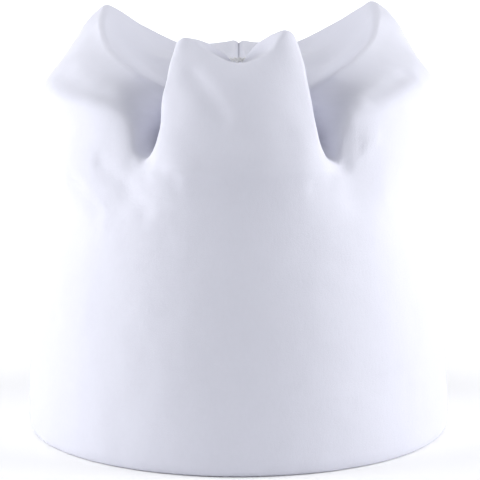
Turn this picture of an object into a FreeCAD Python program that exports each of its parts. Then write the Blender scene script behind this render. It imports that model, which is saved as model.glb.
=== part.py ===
"""Chef toque: a soft sewn cap with a flared side and a gathered crown that stands in tall folds.

Frame: millimetres, +Z up, the front faces -Y.  The origin is the middle of the round
lower rim, on the plane that the hat rests on.
"""
import FreeCAD, Part
import Sketcher
import math
import os

from FreeCAD import Vector

doc = FreeCAD.newDocument("chef_toque")

# ---------------------------------------------------------------- driving sizes
SIZES = [
    # alias, value in mm (or a count), meaning
    ("rim_radius", 97.0, "outside radius of the shell at the lower rim"),
    ("neck_radius", 82.7, "outside radius where the side is narrowest"),
    ("neck_height", 112.0, "height of the narrowest ring"),
    ("tip_height", 190.0, "height of the tips of the two side folds"),
    ("shell_thickness", 2.0, "thickness of the brushed fleece"),
    ("gather_radius", 7.0, "radius of the ring that the crown is gathered into"),
    ("gather_height", 168.5, "height of the gathered ring"),
    ("layer_gap", 0.1, "air between two layers that are sewn together"),
    ("facing_height", 39.0, "height of the fleece facing's upper edge"),
    ("facing_bottom", 0.3, "height of the facing's lower edge"),
    ("facing_inner", 91.4, "inside radius of the facing"),
    ("band_inner", 90.2, "inside radius of the sweatband, where the head goes"),
    ("band_outer", 91.3, "outside radius of the sweatband"),
    ("band_bottom", 4.0, "height of the sweatband's lower edge"),
    ("band_width", 32.0, "width of the sweatband tape"),
    ("lining_thickness", 0.8, "thickness of the jersey lining"),
    ("lining_foot_outer", 92.0, "outside radius of the lining at its lower edge"),
    ("lining_foot", 39.6, "height of the lining's lower edge"),
    ("lining_seam_outer", 79.4, "outside radius of the lining at its crown seam"),
    ("lining_seam", 103.0, "height of the lining's crown seam"),
    ("lining_haunch_outer", 66.0, "outside radius where the lining's crown turns inward"),
    ("lining_haunch", 119.0, "height where the lining's crown turns inward"),
    ("lining_dome_outer", 40.0, "radius where the lining's crown nears level"),
    ("lining_dome", 131.0, "height where the lining's crown nears level"),
    ("lining_apex", 136.0, "height of the lining's crown at the axis"),
    ("stay_radius", 16.0, "radius of the cloth stay under the gather"),
    ("stay_thickness", 1.2, "thickness of the cloth stay"),
    ("stay_drop", 8.0, "how far the stay's top lies under the gathered ring"),
    ("thread_radius", 0.5, "radius of the gathering thread"),
    ("stitch_width", 0.7, "width of one stitch"),
    ("stitch_depth", 0.5, "thickness of one stitch"),
    ("rim_stitches", 60, "count of stitches in each row around the rim"),
    ("seam_stitches", 15, "count of stitches in each row up the centre back"),
    ("seam_row_spread", 7.0, "distance between the two rows up the centre back"),
    ("seam_foot", 50.0, "height of the seam allowance's lower end"),
    ("seam_head", 101.0, "height of the seam allowance's upper end"),
    ("seam_width", 9.0, "width of the pressed seam allowance at the centre back"),
    ("seam_depth", 0.9, "thickness of the pressed seam allowance"),
    ("label_width", 30.0, "width of the blank care label"),
    ("label_height", 24.0, "hanging height of the care label"),
    ("label_thickness", 0.5, "thickness of the care label"),
    ("label_top", 78.0, "height of the care label's sewn edge"),
]
sheet = doc.addObject("Spreadsheet::Sheet", "Sizes")
for row, (alias, value, meaning) in enumerate(SIZES, start=1):
    sheet.set(f"A{row}", alias)
    sheet.set(f"B{row}", str(value))
    sheet.set(f"C{row}", meaning)
    sheet.setAlias(f"B{row}", alias)
doc.recompute()


def size(alias):
    """A driving size, read back from the sheet."""
    return float(sheet.get(alias))


SUBPARTS = []


def subpart(thing, label):
    """Name a finished sub-part; its label names its file."""
    thing.Label = label
    SUBPARTS.append(thing)
    return thing


# ---------------------------------------------------------------- building blocks
def outline(body, name, corners):
    """A closed outline in the XZ plane, each corner a pair of sizes or numbers.

    A coordinate of 0 ties the corner to the axis or to the rim plane.
    """
    sketch = body.newObject("Sketcher::SketchObject", name)
    plane = next(f for f in body.Origin.OriginFeatures if f.Role == "XZ_Plane")
    sketch.AttachmentSupport = [(plane, "")]
    sketch.MapMode = "FlatFace"
    spots = []
    for radius, height in corners:
        spots.append(Vector(worth(radius), worth(height), 0))
    count = len(spots)
    for i in range(count):
        sketch.addGeometry(Part.LineSegment(spots[i], spots[(i + 1) % count]), False)
    for i in range(count):
        sketch.addConstraint(Sketcher.Constraint("Coincident", i, 2, (i + 1) % count, 1))
    for i, (radius, height) in enumerate(corners):
        hold(sketch, "DistanceX", i, spots[i].x, radius, -2)
        hold(sketch, "DistanceY", i, spots[i].y, height, -1)
    return sketch


def worth(entry):
    """The number that a size expression stands for now."""
    if entry == 0:
        return 0.0
    return float(sheet.evalExpression(entry))


def hold(sketch, kind, corner, distance, entry, axis):
    """Fix one coordinate of a sketch corner: on an axis, or at a size from the origin."""
    if entry == 0:
        sketch.addConstraint(Sketcher.Constraint("PointOnObject", corner, 1, axis))
        return
    at = sketch.addConstraint(Sketcher.Constraint(kind, -1, 1, corner, 1, distance))
    sketch.setExpression(f"Constraints[{at}]", entry)


def turned(name, corners):
    """A body of revolution about Z with the given outline."""
    body = doc.addObject("PartDesign::Body", name)
    sketch = outline(body, name + "_outline", corners)
    turn = body.newObject("PartDesign::Revolution", name + "_turn")
    turn.Profile = sketch
    turn.ReferenceAxis = (sketch, ["V_Axis"])
    turn.Angle = 360.0
    body.Tip = turn
    return body


def shaped(name, shape):
    """A free-form piece whose shape is worked out here from the sheet."""
    thing = doc.addObject("Part::Feature", name)
    thing.Shape = shape
    return thing


def around(azimuth, radius, height):
    """A point by its azimuth from the front (degrees, towards +X), radius and height."""
    angle = math.radians(azimuth)
    return Vector(radius * math.sin(angle), -radius * math.cos(angle), height)


# ---------------------------------------------------------------- outer shell
# Side profile as shares: height as a share of the neck height, and how much of the
# way from the rim radius in to the neck radius the wall has come.
SIDE = [(0.0, 0.0), (0.08, 0.01), (0.28, 0.10), (0.52, 0.30), (0.72, 0.62), (0.88, 0.90), (1.0, 1.0)]

# The crown as rings from the neck in to the gather.  A ring runs from the front to the
# back through (radius, height) points, one at each azimuth below; both halves are alike.
AZIMUTHS = [0, 18, 27, 30, 34, 40, 55, 75, 90, 106, 122, 140, 160, 180]
CROWN = [
    # bulge of the wall over the neck, and the lower lip of the two front valleys
    [(83, 140), (82, 140), (79, 138), (78, 135), (78, 133), (80, 137), (83, 142),
     (87, 145), (90, 148), (90, 148), (88, 146), (83, 140), (77, 132), (78, 136)],
    # faces of the folds
    [(78, 149), (77, 149), (74, 147), (68, 141), (65, 137), (79, 150), (83, 153),
     (86, 155), (88, 157), (89, 159), (87, 160), (80, 150), (69, 141), (71, 146)],
    # upper faces
    [(72, 161), (70, 161), (68, 160), (62, 153), (55, 140), (73, 154), (76, 160),
     (79, 163), (82, 166), (84, 171), (83, 176), (72, 162), (60, 154), (63, 158)],
    # brow under the crest
    [(65, 169), (63, 171), (61, 171), (56, 164), (45, 145), (57, 153), (66, 162),
     (70, 168), (73, 172), (76, 178), (79, 187), (68, 172), (54, 164), (56, 167)],
    # crest: the front fold's dip and shoulders, the side folds' tips, the low back fold
    [(58, 174), (54, 181), (49, 185), (47, 181), (39, 163), (39, 153), (50, 163),
     (57, 172), (60, 177), (67, 184), (74, 190), (59, 175), (50, 170), (48, 172)],
    # slope that runs in to the gather
    [(41, 172), (38, 178), (34, 178), (30, 170), (27, 158), (27, 157), (28, 157),
     (31, 159), (34, 162), (40, 166), (45, 170), (40, 168), (32, 169), (32, 171)],
    # last pleats before the gather
    [(22, 170), (22, 174), (21, 175), (19, 170), (17, 165), (16, 164), (16, 162),
     (18, 163), (19, 164), (22, 166), (24, 168), (21, 168), (20, 168), (20, 170)],
]


def shell_grid():
    """Points on the shell's outer face: rings from the rim to the gather, all the way round."""
    neck = size("neck_radius")
    flare = size("rim_radius") - neck
    lift = size("tip_height") / max(height for ring in CROWN for _, height in ring)
    half = []
    for up, share in SIDE:
        half.append([(neck + flare * (1 - share), size("neck_height") * up)] * len(AZIMUTHS))
    for crown_ring in CROWN:
        half.append([(radius, height * lift) for radius, height in crown_ring])
    half.append([(size("gather_radius"), size("gather_height"))] * len(AZIMUTHS))
    grid = []
    for level in half:
        right = [around(azimuth, *spot) for azimuth, spot in zip(AZIMUTHS, level)]
        left = [Vector(-spot.x, spot.y, spot.z) for spot in right[-2:0:-1]]
        grid.append(right + left)
    return grid


def inner_grid(grid, depth):
    """The grid moved into the cloth by its thickness, square to the face at each point."""
    last = len(grid) - 1
    count = len(grid[0])
    moved = []
    for level, ring in enumerate(grid):
        row = []
        for i, spot in enumerate(ring):
            along = ring[(i + 1) % count] - ring[i - 1]
            rising = grid[min(level + 1, last)][i] - grid[max(level - 1, 0)][i]
            outward = along.cross(rising).normalize()
            row.append(spot - outward * depth)
        moved.append(row)
    return moved


def skin(grid):
    """The solid inside a closed face that is lofted through the grid's rings."""
    rings = []
    for spots in grid:
        curve = Part.BSplineCurve()
        curve.interpolate(Points=spots, PeriodicFlag=True)
        rings.append(Part.Wire([curve.toShape()]))
    return Part.makeLoft(rings, True, True, False)


def outer_shell():
    """The fleece tube: open at the rim, closed by the gather at the crown."""
    outer = shell_grid()
    inner = inner_grid(outer, size("shell_thickness"))
    inner[0] = [Vector(spot.x, spot.y, -1.0) for spot in inner[0]]
    inner[-1] = [spot - Vector(0, 0, size("shell_thickness")) for spot in outer[-1]]
    return shaped("shell", skin(outer).cut(skin(inner)).Solids[0])


def shell_radius(height):
    """Outside radius of the round side at a height under the neck."""
    share = height / size("neck_height")
    for (low, from_rim), (high, to_rim) in zip(SIDE, SIDE[1:]):
        if low <= share <= high:
            way = from_rim + (to_rim - from_rim) * (share - low) / (high - low)
            return size("rim_radius") - (size("rim_radius") - size("neck_radius")) * way
    raise ValueError(f"{height} mm is above the neck")


def inside_of_shell(height):
    """Inside radius of the shell at a height under the neck."""
    return shell_radius(height) - size("shell_thickness")


# ---------------------------------------------------------------- thread and tape
def spun(piece, azimuth):
    """The piece turned about Z, from the front of the hat to an azimuth."""
    piece.rotate(Vector(0, 0, 0), Vector(0, 0, 1), azimuth)
    return piece


def block(across, inward, upward, middle):
    """A box centred on a point, sized along X, Y and Z."""
    half = Vector(across / 2, inward / 2, upward / 2)
    return Part.makeBox(across, inward, upward, middle - half)


def over_edge_row(height, radius, reach):
    """Short stitches over the edge of a layer, all round: each runs in and out by reach."""
    count = int(size("rim_stitches"))
    stitch = (size("stitch_width"), reach, size("stitch_depth"))
    row = []
    for i in range(count):
        row.append(spun(block(*stitch, Vector(0, -radius, height)), 360.0 * (i + 0.5) / count))
    return row


def upright_row(low, high, count, sideways, wall, outward):
    """Stitches up the centre back, on a wall given as a function of height.

    outward is +1 on the outside of the wall and -1 on its inside.
    """
    pitch = (high - low) / count
    length = 0.8 * pitch
    off = outward * (size("stitch_depth") / 2 + size("layer_gap"))
    row = []
    for i in range(count):
        start = low + pitch * i
        rise = wall(start + length) - wall(start)
        stitch = block(size("stitch_width"), size("stitch_depth"), length, Vector(0, 0, 0))
        lean = math.degrees(math.atan2(-rise, length))
        stitch.rotate(Vector(0, 0, 0), Vector(1, 0, 0), lean)
        middle = wall(start + length / 2)
        back = math.sqrt(middle ** 2 - sideways ** 2) + off
        stitch.translate(Vector(sideways, back, start + length / 2))
        row.append(stitch)
    return row


def back_strip(width, depth, heights, wall):
    """A flat strip on the inside of a wall at the centre back, through the given heights."""
    far = []
    for height in heights:
        reach = math.sqrt(wall(height) ** 2 - (width / 2) ** 2) - 2 * size("layer_gap")
        far.append(Vector(-width / 2, reach, height))
    near = [spot - Vector(0, depth, 0) for spot in reversed(far)]
    face = Part.Face(Part.makePolygon(far + near + far[:1]))
    return face.extrude(Vector(width, 0, 0))


def inside_of_lining(height):
    """Inside radius of the lining's side at a height."""
    foot, seam = size("lining_foot"), size("lining_seam")
    share = (height - foot) / (seam - foot)
    narrowing = size("lining_foot_outer") - size("lining_seam_outer")
    return size("lining_foot_outer") - narrowing * share - size("lining_thickness")


# ---------------------------------------------------------------- the pieces
subpart(outer_shell(), "outer_shell")

facing_top_radius = inside_of_shell(size("facing_height")) - size("layer_gap")
facing = turned("facing", [
    ("Sizes.facing_inner", "Sizes.facing_bottom"),
    ("Sizes.rim_radius - Sizes.shell_thickness - 3 * Sizes.layer_gap", "Sizes.facing_bottom"),
    (f"{facing_top_radius}", "Sizes.facing_height"),
    ("Sizes.facing_inner", "Sizes.facing_height"),
])
subpart(facing, "hem_facing")

sweatband = doc.addObject("Part::Cut", "band")
for role, radius in (("Base", "Sizes.band_outer"), ("Tool", "Sizes.band_inner")):
    drum = doc.addObject("Part::Cylinder", "band_" + role.lower())
    drum.setExpression("Radius", radius)
    drum.setExpression("Height", "Sizes.band_width")
    drum.setExpression("Placement.Base.z", "Sizes.band_bottom")
    setattr(sweatband, role, drum)
subpart(sweatband, "sweatband")

lining_side = turned("lining_wall", [
    ("Sizes.lining_foot_outer - Sizes.lining_thickness", "Sizes.lining_foot"),
    ("Sizes.lining_foot_outer", "Sizes.lining_foot"),
    ("Sizes.lining_seam_outer", "Sizes.lining_seam"),
    ("Sizes.lining_seam_outer - Sizes.lining_thickness", "Sizes.lining_seam"),
])
subpart(lining_side, "lining_side")

lining_crown = turned("lining_top", [
    ("Sizes.lining_seam_outer - 1.4 * Sizes.lining_thickness", "Sizes.lining_seam + Sizes.layer_gap"),
    ("Sizes.lining_seam_outer", "Sizes.lining_seam + Sizes.layer_gap"),
    ("Sizes.lining_haunch_outer", "Sizes.lining_haunch"),
    ("Sizes.lining_dome_outer", "Sizes.lining_dome"),
    (0, "Sizes.lining_apex"),
    (0, "Sizes.lining_apex - Sizes.lining_thickness"),
    ("Sizes.lining_dome_outer", "Sizes.lining_dome - Sizes.lining_thickness"),
    ("Sizes.lining_haunch_outer - Sizes.lining_thickness", "Sizes.lining_haunch - Sizes.lining_thickness"),
])
subpart(lining_crown, "lining_crown")

lining_crown_seam = doc.addObject("Part::Torus", "lining_ring")
lining_crown_seam.setExpression(
    "Radius1", "Sizes.lining_seam_outer + Sizes.thread_radius + Sizes.layer_gap")
lining_crown_seam.setExpression("Radius2", "Sizes.thread_radius")
lining_crown_seam.setExpression("Placement.Base.z", "Sizes.lining_seam")
subpart(lining_crown_seam, "lining_crown_seam")

lining_stitches = upright_row(
    size("label_top") + 2, size("lining_seam") - 2, 6, 0.0, inside_of_lining, -1)
subpart(shaped("lining_row", Part.makeCompound(lining_stitches)), "lining_back_seam")

seam_heights = [size("seam_foot")]
seam_heights += [size("neck_height") * up for up, _ in SIDE[3:6]]
seam_heights.append(size("seam_head"))
allowance = back_strip(size("seam_width"), size("seam_depth"), seam_heights, inside_of_shell)
subpart(shaped("seam_flap", allowance), "back_seam_allowance")

back_stitches = []
for side in (-1, 1):
    back_stitches += upright_row(
        size("facing_height") / 2, size("neck_height") * 0.96, int(size("seam_stitches")),
        side * size("seam_row_spread") / 2, shell_radius, 1)
subpart(shaped("seam_rows", Part.makeCompound(back_stitches)), "back_seam_stitching")

hem_middle = (size("facing_inner") + facing_top_radius) / 2
hem_reach = facing_top_radius - size("facing_inner")
edge = size("layer_gap") + size("stitch_depth") / 2
hem_row = over_edge_row(size("facing_height") + edge, hem_middle, hem_reach)
subpart(shaped("hem_row", Part.makeCompound(hem_row)), "hem_stitching")

band_middle = (size("band_inner") + size("band_outer")) / 2
band_reach = size("band_outer") - size("band_inner")
band_rows = over_edge_row(size("band_bottom") - edge, band_middle, band_reach)
band_rows += over_edge_row(size("band_bottom") + size("band_width") + edge, band_middle, band_reach)
subpart(shaped("band_rows", Part.makeCompound(band_rows)), "sweatband_stitching")

crown_stay = doc.addObject("Part::Cylinder", "stay")
crown_stay.setExpression("Radius", "Sizes.stay_radius")
crown_stay.setExpression("Height", "Sizes.stay_thickness")
crown_stay.setExpression(
    "Placement.Base.z",
    "Sizes.gather_height - Sizes.shell_thickness - Sizes.stay_drop - Sizes.stay_thickness")
subpart(crown_stay, "crown_stay")

gather_thread = doc.addObject("Part::Torus", "gather_loop")
gather_thread.setExpression("Radius1", "0.8 * Sizes.gather_radius")
gather_thread.setExpression("Radius2", "Sizes.thread_radius")
gather_thread.setExpression(
    "Placement.Base.z", "Sizes.gather_height + Sizes.thread_radius + Sizes.layer_gap")
subpart(gather_thread, "crown_gather_thread")

tack = doc.addObject("Part::Box", "tack")
for side, wide in (("Length", "Sizes.gather_radius"), ("Width", "3 * Sizes.stitch_width")):
    tack.setExpression(side, wide)
tack.setExpression("Height", "2 * Sizes.thread_radius")
tack.setExpression("Placement.Base.x", "-Sizes.gather_radius / 2")
tack.setExpression("Placement.Base.y", "-1.5 * Sizes.stitch_width")
tack.setExpression("Placement.Base.z", "Sizes.gather_height + Sizes.layer_gap")
subpart(tack, "crown_tack")

label_bottom = size("label_top") - size("label_height")
label = back_strip(
    size("label_width"), size("label_thickness"), [label_bottom, size("label_top")], inside_of_lining)
subpart(shaped("label", label), "care_label")

label_row_height = size("label_top") - 2
label_face = math.sqrt(inside_of_lining(label_row_height) ** 2 - (size("label_width") / 2) ** 2)
label_face -= size("label_thickness") + 4 * size("layer_gap") + size("stitch_depth") / 2
label_pitch = size("label_width") / 6
label_row = []
for i in range(6):
    middle = Vector(label_pitch * (i - 2.5), label_face, label_row_height)
    stitch = (0.8 * label_pitch, size("stitch_depth"), size("stitch_width"))
    label_row.append(block(*stitch, middle))
subpart(shaped("label_row", Part.makeCompound(label_row)), "label_stitching")

# ---------------------------------------------------------------- check and write
doc.recompute()
for thing in doc.Objects:
    faults = [state for state in thing.State if state in ("Invalid", "Error")]
    if faults:
        raise RuntimeError(f"{thing.Label}: {faults}")
for thing in SUBPARTS:
    if thing.Shape.isNull() or not thing.Shape.isValid() or not thing.Shape.Solids:
        raise RuntimeError(f"{thing.Label} has no valid shape")

os.makedirs("parts", exist_ok=True)
for thing in SUBPARTS:
    thing.Shape.exportStep(f"parts/{thing.Label}.step")
    box = thing.Shape.BoundBox
    print(f"{thing.Label:22s} {len(thing.Shape.Solids):4d} solids {thing.Shape.Volume:10.1f} mm3"
          f"  z {box.ZMin:.1f} to {box.ZMax:.1f}")
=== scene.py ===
"""Looks of a soft chef toque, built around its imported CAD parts.

Each operator makes one piece, or one group of like pieces, in metres in the CAD frame:
+Z is up, the front faces -Y, and the round rim stands on z = 0.
"""
import math

import bpy
import numpy as np
from bpy.props import FloatProperty, FloatVectorProperty, IntProperty, PointerProperty
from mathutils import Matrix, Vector, noise


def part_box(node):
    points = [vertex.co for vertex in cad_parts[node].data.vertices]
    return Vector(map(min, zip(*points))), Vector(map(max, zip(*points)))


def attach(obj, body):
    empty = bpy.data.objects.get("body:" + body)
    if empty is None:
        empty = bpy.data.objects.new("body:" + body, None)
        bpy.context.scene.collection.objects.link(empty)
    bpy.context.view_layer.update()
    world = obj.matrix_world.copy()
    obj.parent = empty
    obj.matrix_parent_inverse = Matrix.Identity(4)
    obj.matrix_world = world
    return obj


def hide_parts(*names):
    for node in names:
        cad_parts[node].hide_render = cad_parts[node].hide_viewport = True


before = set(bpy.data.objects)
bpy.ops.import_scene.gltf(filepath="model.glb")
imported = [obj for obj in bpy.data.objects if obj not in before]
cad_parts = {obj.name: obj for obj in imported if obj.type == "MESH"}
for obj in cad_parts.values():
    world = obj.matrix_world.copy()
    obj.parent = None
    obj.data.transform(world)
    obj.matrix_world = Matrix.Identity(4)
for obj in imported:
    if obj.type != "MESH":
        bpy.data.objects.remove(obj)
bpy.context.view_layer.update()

bl_info = {
    "name": "Chef Toque",
    "version": (1, 0, 0),
    "blender": (4, 5, 0),
    "location": "3D View > Sidebar > Toque",
    "description": "Sewn pieces, finishes and a plain stage for a soft chef toque",
    "category": "Object",
}

MM = 0.001
GATHER_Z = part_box("crown_gather_thread")[0][2] / MM - 0.1
RIM_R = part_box("outer_shell")[1][0] / MM
LIP_ROWS = 5  # rows that round the edge of a cloth
ROUND_STITCHES = 60  # stitches in a row that goes all round
STITCH = [k / 6 for k in range(7)]  # how far along a stitch each of its points lies
LONG_STITCH = [k / 8 for k in range(9)]


# ---------------------------------------------------------------- sizes and colours
class ToqueCloth(bpy.types.PropertyGroup):
    """Sizes and colours of the sewn pieces."""

    columns: IntProperty(
        name="Columns", description="Mesh columns around the shell", default=360, min=96, max=480)
    fleece_thickness: FloatProperty(
        name="Fleece", description="Thickness of the brushed fleece", default=2 * MM, unit="LENGTH")
    crease_depth: FloatProperty(
        name="Creases", description="How deep the soft creases are pressed, as a share",
        default=1.0, min=0.0, max=2.0, subtype="FACTOR")
    thread_radius: FloatProperty(
        name="Thread", description="Radius of the sewing thread", default=0.3 * MM, unit="LENGTH")
    fleece_colour: FloatVectorProperty(
        name="Fleece colour", description="Colour of the outer fleece",
        default=(0.68, 0.686, 0.775), subtype="COLOR", min=0, max=1)
    lining_colour: FloatVectorProperty(
        name="Lining colour", description="Colour of the jersey lining",
        default=(0.79, 0.79, 0.80), subtype="COLOR", min=0, max=1)
    band_colour: FloatVectorProperty(
        name="Band colour", description="Colour of the cotton sweatband",
        default=(0.76, 0.745, 0.71), subtype="COLOR", min=0, max=1)
    thread_colour: FloatVectorProperty(
        name="Thread colour", description="Colour of the sewing thread",
        default=(0.82, 0.82, 0.83), subtype="COLOR", min=0, max=1)
    label_colour: FloatVectorProperty(
        name="Label colour", description="Colour of the blank satin label",
        default=(0.84, 0.84, 0.83), subtype="COLOR", min=0, max=1)


class ToqueStage(bpy.types.PropertyGroup):
    """Floor, light and camera."""

    floor_colour: FloatVectorProperty(
        name="Floor colour", description="Colour of the plain floor",
        default=(0.965, 0.965, 0.965), subtype="COLOR", min=0, max=1)
    side_power: FloatProperty(
        name="Side lights", description="Power of each soft light at the sides", default=11.2,
        unit="POWER")
    top_power: FloatProperty(
        name="Top light", description="Power of the soft light above the front", default=4.0,
        unit="POWER")
    floor_power: FloatProperty(
        name="Floor light", description="Power of the soft light over the floor behind",
        default=45.0, unit="POWER")
    sky_strength: FloatProperty(
        name="Sky", description="Brightness of the even light from all round", default=0.255)
    sky_colour: FloatVectorProperty(
        name="Sky colour", description="Tint of the even light from all round",
        default=(0.93, 0.95, 1.0), subtype="COLOR", min=0, max=1)
    camera_distance: FloatProperty(
        name="Camera distance", description="From the camera to the middle of the hat",
        default=1.225, unit="LENGTH")
    camera_elevation: FloatProperty(
        name="Camera elevation", description="Angle that the camera looks down at",
        default=math.radians(10.77), subtype="ANGLE")


# ---------------------------------------------------------------- shader maths
class Amount:
    """One shader value that takes Python arithmetic: each step adds a Math node."""

    def __init__(self, finish, socket):
        self.finish, self.socket = finish, socket

    def step(self, operation, *terms):
        node = self.finish.node(
            "ShaderNodeMath", {"operation": operation}, dict(enumerate(terms)))
        return Amount(self.finish, node.outputs[0])

    def __add__(self, other):
        return self.step("ADD", self, other)

    def __sub__(self, other):
        return self.step("SUBTRACT", self, other)

    def __rsub__(self, other):
        return self.step("SUBTRACT", other, self)

    def __mul__(self, other):
        return self.step("MULTIPLY", self, other)

    def __truediv__(self, other):
        return self.step("DIVIDE", self, other)

    def __rtruediv__(self, other):
        return self.step("DIVIDE", other, self)

    def __pow__(self, other):
        return self.step("POWER", self, other)

    def __rpow__(self, other):
        return self.step("POWER", other, self)

    def __abs__(self):
        return self.step("ABSOLUTE", self)

    __radd__, __rmul__ = __add__, __mul__

    def sine(self):
        return self.step("SINE", self)

    def part(self):
        """What is left over a whole number."""
        return self.step("FRACT", self)


class Finish:
    """A procedural material, laid out along the cloth by its UV map in metres."""

    def __init__(self, name, constants):
        self.material = bpy.data.materials.new(name)
        self.material.use_nodes = True
        self.tree = self.material.node_tree
        self.tree.nodes.clear()
        self.shader = self.node("ShaderNodeBsdfPrincipled", {}, constants)
        self.node("ShaderNodeOutputMaterial", {}, {"Surface": self.shader.outputs["BSDF"]})

    def node(self, kind, settings, sockets):
        """A node of this kind: its settings first, then the value or link of each socket."""
        node = self.tree.nodes.new(kind)
        for setting, value in settings.items():
            setattr(node, setting, value)
        for key, value in sockets.items():
            if isinstance(value, Amount):
                value = value.socket
            if isinstance(value, bpy.types.NodeSocket):
                self.tree.links.new(value, node.inputs[key])
            else:
                node.inputs[key].default_value = value
        return node

    def along_cloth(self):
        """Distances across and along the cloth, in millimetres."""
        places = self.node("ShaderNodeUVMap", {"uv_map": "cloth"}, {})
        split = self.node("ShaderNodeSeparateXYZ", {}, {0: places.outputs["UV"]})
        return Amount(self, split.outputs["X"]) * 1000, Amount(self, split.outputs["Y"]) * 1000

    def speckle(self, across, along, seed, detail=2.0, rough=0.5):
        """Soft noise whose grains are one millimetre where across and along are in millimetres."""
        place = self.node("ShaderNodeCombineXYZ", {}, {0: across, 1: along, 2: seed})
        grains = self.node("ShaderNodeTexNoise", {}, {
            "Vector": place.outputs[0], "Scale": 1.0, "Detail": detail, "Roughness": rough})
        return Amount(self, grains.outputs["Fac"])

    def set_colour(self, share, low, high):
        """Base colour from low to high as share goes from 0 to 1."""
        blend = self.node("ShaderNodeMix", {"data_type": "RGBA"}, {
            "Factor": share, 6: (*low, 1.0), 7: (*high, 1.0)})
        self.tree.links.new(blend.outputs[2], self.shader.inputs["Base Color"])

    def set_roughness(self, amount):
        self.tree.links.new(amount.socket, self.shader.inputs["Roughness"])

    def set_relief(self, height, millimetres, strength=1.0):
        """Bump whose full height is this many millimetres."""
        bump = self.node("ShaderNodeBump", {}, {
            "Strength": strength, "Distance": millimetres * MM, "Height": height})
        self.tree.links.new(bump.outputs[0], self.shader.inputs["Normal"])


def shade(colour, share):
    """The colour made lighter or darker by a share."""
    return tuple(min(1.0, channel * share) for channel in colour)


def fleece_finish(colour):
    """Brushed fleece: a fine nap that lies along the cloth, in faint streaks and clumps."""
    finish = Finish("brushed_fleece", {"Sheen Weight": 0.2, "Sheen Roughness": 0.6})
    across, along = finish.along_cloth()
    nap = finish.speckle(across * 2.2, along * 1.7, 1.0, 4.0, 0.6)
    streak = finish.speckle(across * 0.7, along * 0.3, 5.0, 3.0)
    clump = finish.speckle(across * 0.16, along * 0.11, 9.0, 2.0)
    finish.set_relief(nap * 0.55 + streak * 0.3 + clump * 0.15, 0.30, 0.55)
    finish.set_roughness(0.86 + nap * 0.1 + clump * 0.04)
    finish.set_colour(streak * 0.45 + nap * 0.3 + clump * 0.25,
                      shade(colour, 0.955), shade(colour, 1.035))
    return finish.material


def jersey_finish(colour):
    """Fine jersey: upright wales of small V-shaped loops."""
    finish = Finish("lining_jersey", {"Sheen Weight": 0.1})
    across, along = finish.along_cloth()
    wale = abs((across / 1.1).part() - 0.5) * 2
    loop = ((along / 0.9 + wale * 0.55) * math.tau).sine() * 0.5 + 0.5
    knit = (1 - wale ** 2.0) * 0.6 + loop * 0.4
    fuzz = finish.speckle(across * 1.9, along * 1.9, 3.0, 3.0)
    finish.set_relief(knit * 0.8 + fuzz * 0.2, 0.28, 0.8)
    finish.set_roughness(0.72 + fuzz * 0.18)
    finish.set_colour(knit * 0.7 + fuzz * 0.3, shade(colour, 0.88), shade(colour, 1.04))
    return finish.material


def twill_finish(colour):
    """Cotton twill tape: raised diagonal ribs crossed by fine yarns, slightly worn."""
    finish = Finish("cotton_twill", {"Sheen Weight": 0.05})
    across, along = finish.along_cloth()
    rib = ((across + along) * (math.tau / 1.15)).sine() * 0.5 + 0.5
    yarn = ((across * 2 - along) * (math.tau / 1.3)).sine() * 0.5 + 0.5
    wear = finish.speckle(across * 0.07, along * 0.2, 4.0, 4.0)
    fuzz = finish.speckle(across * 3.0, along * 3.0, 8.0, 2.0)
    finish.set_relief(rib ** 0.7 * 0.65 + yarn * 0.25 + fuzz * 0.1, 0.3, 0.9)
    finish.set_roughness(0.7 + wear * 0.2)
    finish.set_colour(rib * 0.4 + wear * 0.4 + fuzz * 0.2, shade(colour, 0.86), shade(colour, 1.06))
    return finish.material


def thread_finish(colour):
    """Spun polyester thread: plies that wind round it."""
    finish = Finish("sewing_thread", {"Sheen Weight": 0.1})
    across, along = finish.along_cloth()
    ply = ((across * 1.6 + along * 2.4) * math.tau).sine() * 0.5 + 0.5
    fuzz = finish.speckle(across * 6.0, along * 3.0, 2.0, 2.0)
    finish.set_relief(ply * 0.8 + fuzz * 0.2, 0.12)
    finish.set_roughness(0.45 + fuzz * 0.25)
    finish.set_colour(ply * 0.7 + fuzz * 0.3, shade(colour, 0.85), shade(colour, 1.05))
    return finish.material


def satin_finish(colour):
    """Satin ribbon: long floats that shine, in fine crosswise lines."""
    finish = Finish("label_satin", {"Sheen Weight": 0.1, "Anisotropic": 0.3})
    across, along = finish.along_cloth()
    floats = (along * (math.tau / 0.32)).sine() * 0.5 + 0.5
    slub = finish.speckle(across * 0.3, along * 2.2, 6.0, 3.0)
    finish.set_relief(floats * 0.7 + slub * 0.3, 0.05)
    finish.set_roughness(0.30 + slub * 0.22)
    finish.set_colour(slub * 0.6 + floats * 0.4, shade(colour, 0.94), shade(colour, 1.03))
    return finish.material


FINISHES = {
    "shell_fleece": (fleece_finish, "fleece_colour"),
    "lining_jersey": (jersey_finish, "lining_colour"),
    "band_cotton": (twill_finish, "band_colour"),
    "sewing_thread": (thread_finish, "thread_colour"),
    "label_satin": (satin_finish, "label_colour"),
}


def finish_for(slot):
    """The material of one of the record's slots, made once."""
    make, colour = FINISHES[slot]
    name = "toque_" + slot
    if name not in bpy.data.materials:
        make(tuple(getattr(bpy.context.scene.toque_cloth, colour))).name = name
    return bpy.data.materials[name]


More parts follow.
